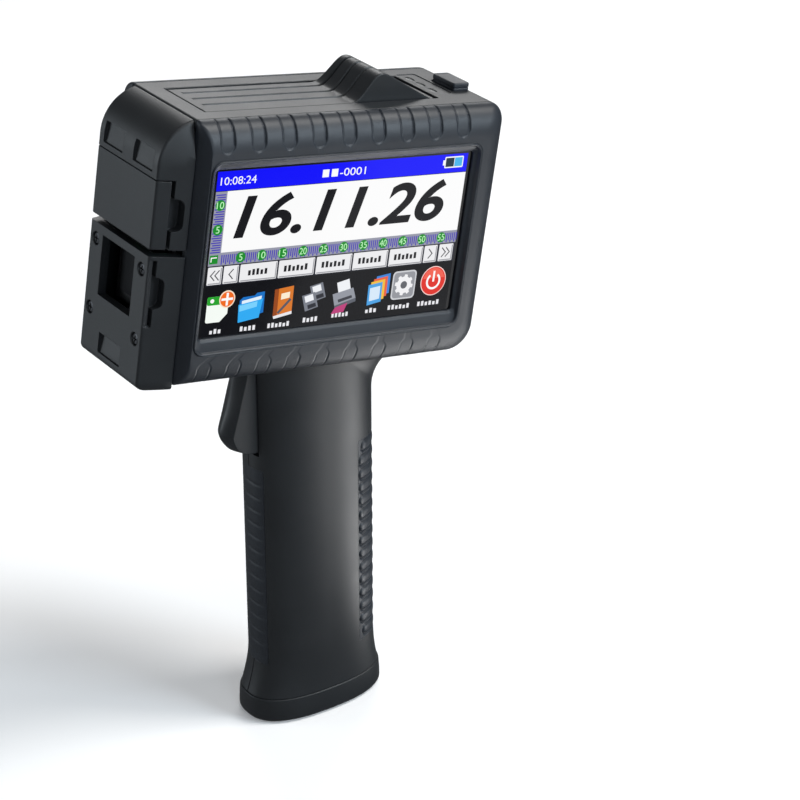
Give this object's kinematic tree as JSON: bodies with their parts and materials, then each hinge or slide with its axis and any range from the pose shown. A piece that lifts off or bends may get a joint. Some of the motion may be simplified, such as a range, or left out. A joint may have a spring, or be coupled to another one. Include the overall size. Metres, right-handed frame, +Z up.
{
  "type": "date code inkjet printer",
  "caption": "Handheld date-code inkjet printer: box head with touch screen, print nose, hinged cartridge lid, and pistol grip with trigger.",
  "frame": {"origin": "centre of the flat underside of the base cap, on which the printer stands", "axes": "+Z up along the grip, +X to the rear away from the print nose, -Y the screen side"},
  "size_m": [0.137, 0.0526, 0.232],
  "materials": {
    "shell_plastic": "fine-grained charcoal moulded plastic",
    "rubber": "satin blue-grey charcoal over-moulding",
    "inner_plastic": "plain dark grey moulded plastic",
    "steel": "ground steel",
    "dark_steel": "black oxide steel",
    "circuit_board": "green solder mask",
    "screen_glass": "smooth touch panel over a lit display",
    "plated_metal": "plated sheet steel",
    "cartridge_plastic": "satin black moulded plastic",
    "light_window": "dark tinted light window",
    "battery_sleeve": "blue shrink sleeve"
  },
  "bodies": {
    "printer": {"back_cover": "rubber", "back_screw_1": "dark_steel", "back_screw_2": "dark_steel", "back_screw_3": "dark_steel", "back_screw_4": "dark_steel", "base_cap": "shell_plastic", "base_screw_1": "dark_steel", "base_screw_2": "dark_steel", "battery_contact": "circuit_board", "battery_pack": "battery_sleeve", "buzzer": "inner_plastic", "cartridge_bay": "inner_plastic", "cartridge_body": "cartridge_plastic", "cartridge_cap": "cartridge_plastic", "cartridge_nozzle": "plated_metal", "cartridge_spring": "steel", "contact_board": "circuit_board", "driver_board": "circuit_board", "front_bezel": "rubber", "front_grip": "rubber", "grip_screw_1": "dark_steel", "grip_screw_2": "dark_steel", "grip_shell_far": "shell_plastic", "grip_shell_near": "shell_plastic", "lid_pin": "steel", "main_board": "circuit_board", "main_frame": "shell_plastic", "nose_shroud": "shell_plastic", "nozzle_plate": "shell_plastic", "plate_screw_1": "dark_steel", "plate_screw_2": "dark_steel", "plate_screw_3": "dark_steel", "plate_screw_4": "dark_steel", "power_jack": "dark_steel", "power_switch": "plated_metal", "rear_grip": "rubber", "screen_module": "plated_metal", "status_light_1": "light_window", "status_light_2": "light_window", "status_light_3": "light_window", "touch_glass": "screen_glass", "trigger_pin": "steel", "trigger_spring": "steel", "trigger_switch": "inner_plastic", "usb_socket": "plated_metal"},
    "trigger": {"trigger": "shell_plastic"},
    "power_button": {"power_button": "rubber"},
    "cartridge_lid": {"cartridge_lid": "shell_plastic"},
    "nose_door": {"nose_door": "shell_plastic"}
  },
  "joints": [
    {"name": "trigger_pull", "type": "hinge", "parent": "printer", "child": "trigger", "pos_m": [-0.0175, 0, 0.1335], "axis": [0, -1, 0], "range_deg": [0, 10], "stiffness_Nm_per_rad": 0.08, "springref_deg": -14.32},
    {"name": "power_button_press", "type": "slide", "parent": "printer", "child": "power_button", "axis": [-0.1599, 0, -0.9871], "range_m": [0, 0.0008], "stiffness_N_per_m": 800, "springref_m": -0.0012},
    {"name": "cartridge_lid_hinge", "type": "hinge", "parent": "printer", "child": "cartridge_lid", "pos_m": [0.04287, 0, 0.2159], "axis": [0, 1, 0], "range_deg": [0, 95]},
    {"name": "nose_door_pull", "type": "slide", "parent": "printer", "child": "nose_door", "axis": [-0.9871, 0, 0.1599], "range_m": [0, 0.014]}
  ]
}
